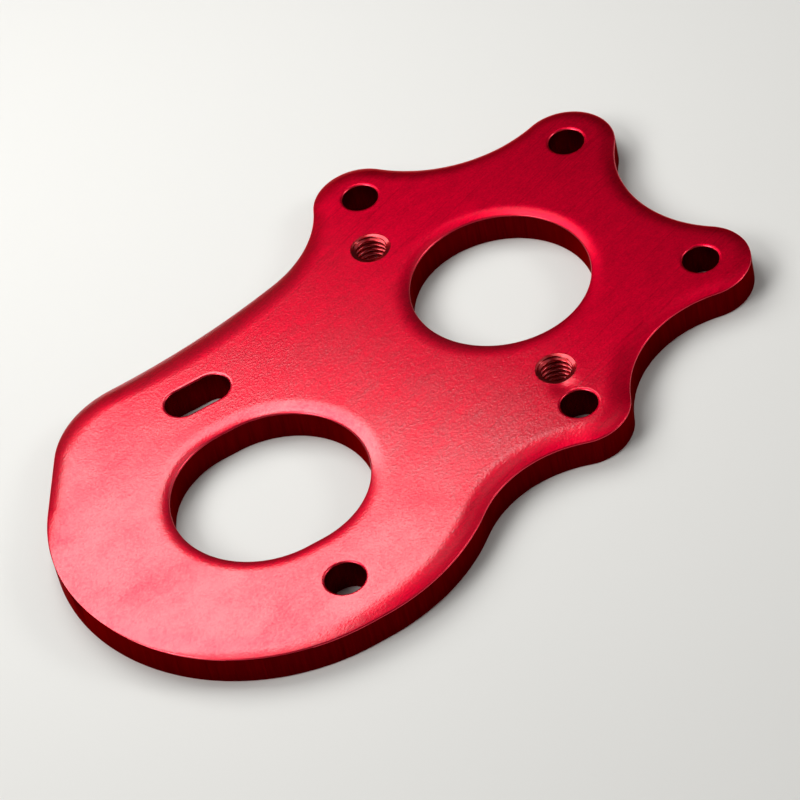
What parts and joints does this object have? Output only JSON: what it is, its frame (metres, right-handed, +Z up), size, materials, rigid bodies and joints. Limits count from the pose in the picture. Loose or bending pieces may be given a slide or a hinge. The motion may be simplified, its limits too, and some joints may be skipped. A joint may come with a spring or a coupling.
{
  "type": "motor mount",
  "caption": "Flat red anodised aluminium plate that holds a small electric motor beside a gearbox shaft bore, with a slotted screw hole for setting gear mesh.",
  "frame": {"origin": "under the middle of the plate's bounding box, on its lower face", "axes": "+X from the motor end to the lobed end, +Z up out of the face with the rolled edges"},
  "size_m": [0.0652, 0.0396, 0.003],
  "materials": {
    "anodised_aluminium": "red anodised, satin, tumbled edges"
  },
  "bodies": {
    "root": {"motor_plate": "anodised_aluminium"}
  },
  "joints": []
}
